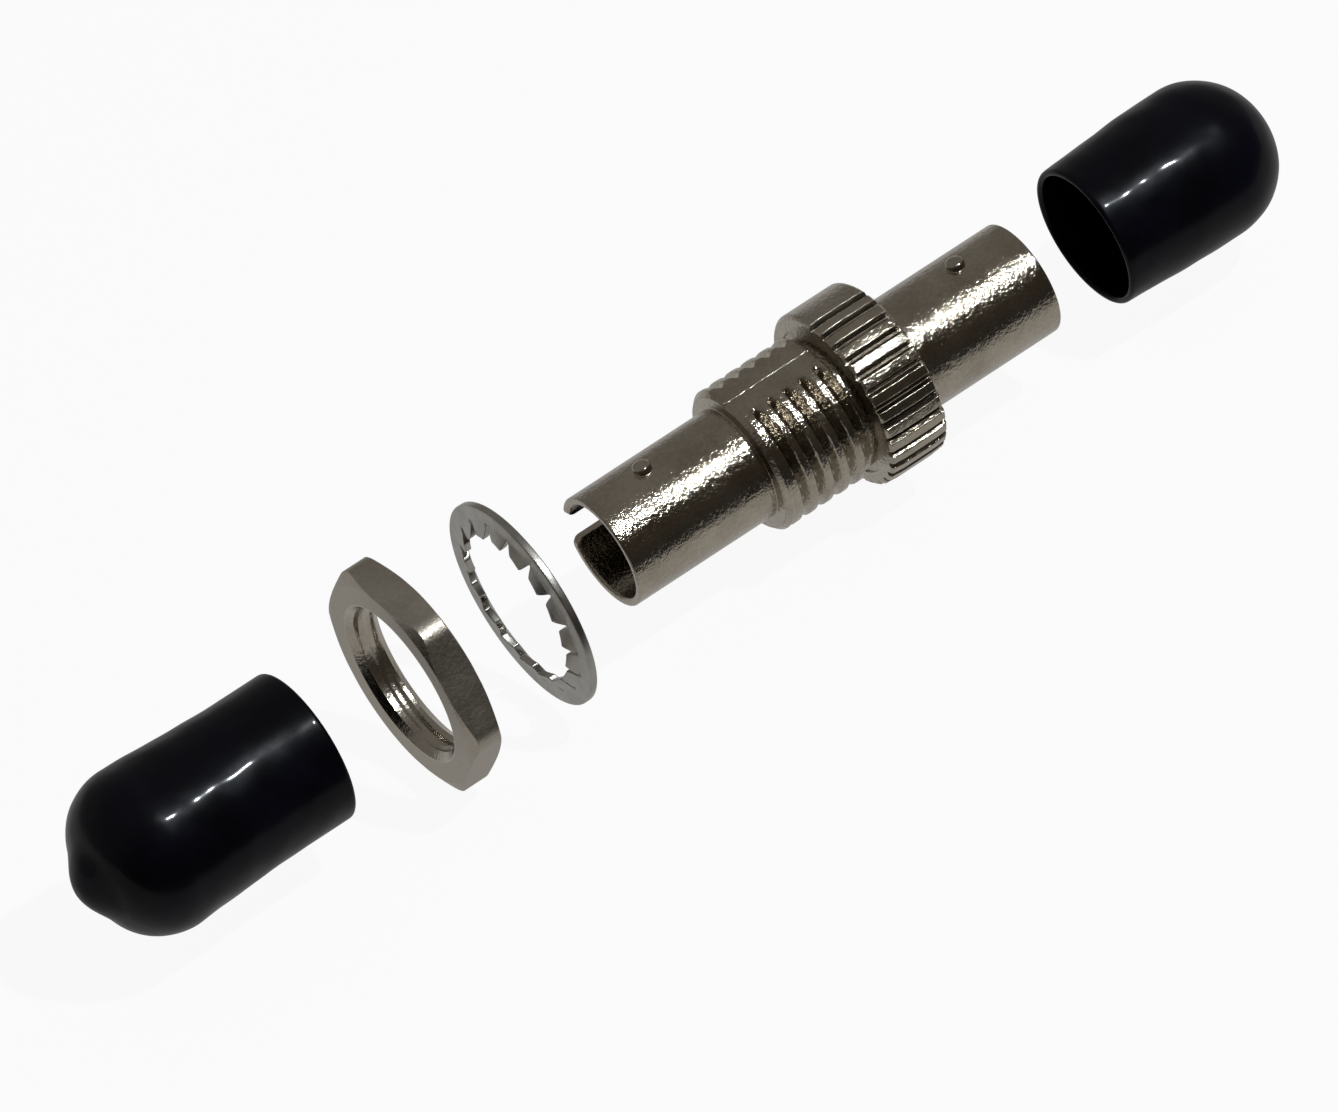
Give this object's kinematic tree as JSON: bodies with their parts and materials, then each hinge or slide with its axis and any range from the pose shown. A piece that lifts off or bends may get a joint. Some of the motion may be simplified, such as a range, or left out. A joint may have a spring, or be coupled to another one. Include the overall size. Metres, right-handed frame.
{
  "type": "st fibre adapter",
  "caption": "Bulkhead fibre adapter with a bayonet port at each end, a knurled flange, a flatted thread, lock washer, hex nut and dust caps, laid out in line.",
  "frame": {"origin": "centre of the flange face that seats on the panel, on the adapter's axis", "axes": "+X along the adapter from the threaded side into the flange and the rear port, +Z the way the flat on the thread faces, +Y the way the key slots open"},
  "size_m": [0.0826, 0.0146, 0.0132],
  "materials": {
    "nickel_plating": "satin nickel plate on a die casting",
    "bright_steel": "bright plated spring steel",
    "bronze": "dull turned bronze",
    "ceramic": "ground white ceramic",
    "black_vinyl": "glossy dipped vinyl"
  },
  "bodies": {
    "adapter": {"housing": "nickel_plating", "rear_barrel": "nickel_plating", "front_sleeve_holder": "bronze", "rear_sleeve_holder": "bronze", "alignment_sleeve": "ceramic"},
    "washer": {"lock_washer": "bright_steel"},
    "nut": {"hex_nut": "nickel_plating"},
    "front_cap": {"front_dust_cap": "black_vinyl"},
    "rear_cap": {"rear_dust_cap": "black_vinyl"}
  },
  "joints": [
    {"name": "washer_slide", "type": "slide", "parent": "adapter", "child": "washer", "axis": [1, 0, 0], "range_m": [0, 0.0213]},
    {"name": "nut_slide", "type": "slide", "parent": "washer", "child": "nut", "axis": [1, 0, 0], "range_m": [0, 0.0053]},
    {"name": "front_cap_slide", "type": "slide", "parent": "nut", "child": "front_cap", "axis": [1, 0, 0], "range_m": [0, 0.0032]},
    {"name": "rear_cap_slide", "type": "slide", "parent": "adapter", "child": "rear_cap", "axis": [-1, 0, 0], "range_m": [0, 0.0139]}
  ]
}
